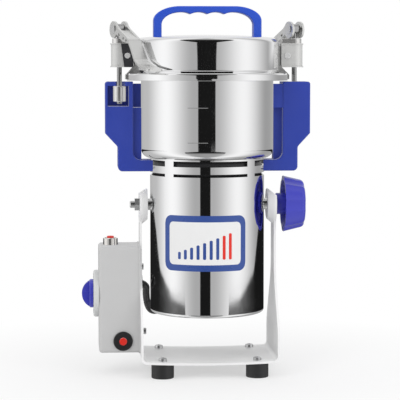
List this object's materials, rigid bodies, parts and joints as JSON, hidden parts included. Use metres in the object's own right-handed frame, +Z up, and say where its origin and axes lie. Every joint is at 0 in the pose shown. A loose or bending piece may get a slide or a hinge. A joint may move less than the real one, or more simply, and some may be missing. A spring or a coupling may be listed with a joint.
{
  "type": "swing grain mill",
  "caption": "Tilting electric grain mill: mirror-polished bowl and motor can in a U-shaped stand, lid held by cam clamps, timer box at the side.",
  "frame": {"origin": "centre of the overall box at floor level, under the middle of the rubber feet's plane", "axes": "+Z up, -Y is the front, -X is the side with the timer box; X runs along the tilting pivot"},
  "size_m": [0.2552, 0.18, 0.41],
  "materials": {
    "stainless": "mirror-polished stainless steel",
    "polished_lever": "polished stainless strip",
    "powder_coat": "light grey powder coat, satin",
    "box_paint": "grey powder coat, fine texture",
    "dial_plate": "pale grey dial plate",
    "knob_black": "black moulded plastic",
    "rubber": "black rubber",
    "black_rubber": "black flexible sleeving",
    "black_plastic": "black plastic",
    "pad_black": "dark hard plastic pad",
    "red_plastic": "red button plastic",
    "blue_plastic": "blue moulded plastic, satin",
    "handle_blue": "blue moulded plastic",
    "violet_plastic": "violet-blue moulded plastic",
    "zinc_steel": "zinc plated steel",
    "steel_parts": "ground steel",
    "chrome": "nickel plated nut",
    "timer_metal": "clockwork timer case",
    "cast_aluminium": "die-cast aluminium",
    "laminations": "steel laminations with windings",
    "brush_brass": "brass brush holders",
    "copper": "copper commutator",
    "white_seal": "silicone sealing ring"
  },
  "bodies": {
    "stand": {"stand_bracket": "powder_coat", "rubber_feet": "rubber", "foot_screws": "zinc_steel", "control_box": "box_paint", "box_back_plate": "box_paint", "box_screws": "zinc_steel", "timer_plate": "dial_plate", "timer_switch": "timer_metal", "breaker": "black_plastic", "breaker_nut": "chrome", "switch_bezel": "black_plastic", "mains_gland": "black_plastic", "lead_grommet": "black_rubber", "motor_lead": "black_rubber"},
    "timer_knob": {"timer_knob": "knob_black"},
    "reset_button": {"reset_button": "red_plastic"},
    "power_button": {"power_button": "red_plastic"},
    "mill": {"motor_housing": "stainless", "housing_base": "stainless", "pivot_bolt": "zinc_steel", "pivot_nut": "zinc_steel", "pivot_spacers": "black_plastic", "lock_stud": "zinc_steel", "left_arm": "blue_plastic", "right_arm": "blue_plastic", "arm_screws": "zinc_steel", "bowl": "stainless", "bowl_nut": "steel_parts", "upper_bearing": "steel_parts", "lower_bearing": "steel_parts", "upper_end_bell": "cast_aluminium", "lower_end_bell": "cast_aluminium", "stator": "laminations", "brush_gear": "brush_brass", "lead_gland": "black_plastic"},
    "lock_washer": {"lock_washer": "black_plastic"},
    "lock_knob": {"lock_knob": "violet_plastic"},
    "spindle": {"shaft": "steel_parts", "armature": "laminations", "commutator": "copper", "cooling_fan": "black_plastic", "lower_blade": "steel_parts", "upper_blade": "steel_parts", "blade_clamps": "steel_parts"},
    "lid": {"lid_shell": "stainless", "lid_gasket": "white_seal", "lid_handle": "handle_blue", "handle_screws": "zinc_steel", "latch_blocks": "blue_plastic", "latch_brackets": "stainless", "thrust_pads": "pad_black", "latch_screws": "zinc_steel"},
    "left_rod": {"left_hook_rod": "zinc_steel", "left_barrel_nut": "zinc_steel"},
    "right_rod": {"right_hook_rod": "zinc_steel", "right_barrel_nut": "zinc_steel"},
    "left_lever": {"left_lever": "polished_lever", "left_lever_pin": "zinc_steel"},
    "right_lever": {"right_lever": "polished_lever", "right_lever_pin": "zinc_steel"}
  },
  "joints": [
    {"name": "body_tilt", "type": "hinge", "parent": "stand", "child": "mill", "pos_m": [0.01345, 0, 0.189], "axis": [1, 0, 0], "range_deg": [-60, 100], "deforming": ["motor_lead"]},
    {"name": "timer_turn", "type": "hinge", "parent": "stand", "child": "timer_knob", "pos_m": [-0.11655, 0, 0.089], "axis": [1, 0, 0], "range_deg": [0, 300]},
    {"name": "reset_pop", "type": "slide", "parent": "stand", "child": "reset_button", "axis": [0, 0, 1], "range_m": [0, 0.003]},
    {"name": "power_press", "type": "slide", "parent": "stand", "child": "power_button", "axis": [0, 1, 0], "range_m": [0, 0.002], "stiffness_N_per_m": 200},
    {"name": "lock_knob_turn", "type": "hinge", "parent": "lock_washer", "child": "lock_knob", "pos_m": [0.10345, 0, 0.189], "axis": [1, 0, 0], "range_deg": [0, 720]},
    {"name": "lock_washer_slide", "type": "slide", "parent": "mill", "child": "lock_washer", "axis": [1, 0, 0], "range_m": [0, 0.0026]},
    {"name": "spindle_spin", "type": "hinge", "parent": "mill", "child": "spindle", "pos_m": [0.01345, 0, 0.15], "axis": [0, 0, 1], "continuous": true},
    {"name": "lid_turn", "type": "hinge", "parent": "mill", "child": "lid", "pos_m": [0.01345, 0, 0.33], "axis": [0, 0, 1], "range_deg": [0, 22]},
    {"name": "left_rod_drop", "type": "slide", "parent": "lid", "child": "left_rod", "axis": [0, 0, -1], "range_m": [0, 0.0019]},
    {"name": "right_rod_drop", "type": "slide", "parent": "lid", "child": "right_rod", "axis": [0, 0, -1], "range_m": [0, 0.0019]},
    {"name": "left_lever_turn", "type": "hinge", "parent": "left_rod", "child": "left_lever", "pos_m": [-0.08455, 0, 0.385], "axis": [-0.9135, -0.4067, 0], "range_deg": [0, 150]},
    {"name": "right_lever_turn", "type": "hinge", "parent": "right_rod", "child": "right_lever", "pos_m": [0.11145, 0, 0.385], "axis": [0.9135, 0.4067, 0], "range_deg": [0, 150]}
  ],
  "couplings": [
    {"joint": "lock_washer_slide", "follows": "lock_knob_turn", "m_per_rad": 0.00019894},
    {"joint": "left_rod_drop", "follows": "left_lever_turn", "m_per_rad": 0.000687},
    {"joint": "right_rod_drop", "follows": "right_lever_turn", "m_per_rad": 0.000687}
  ]
}
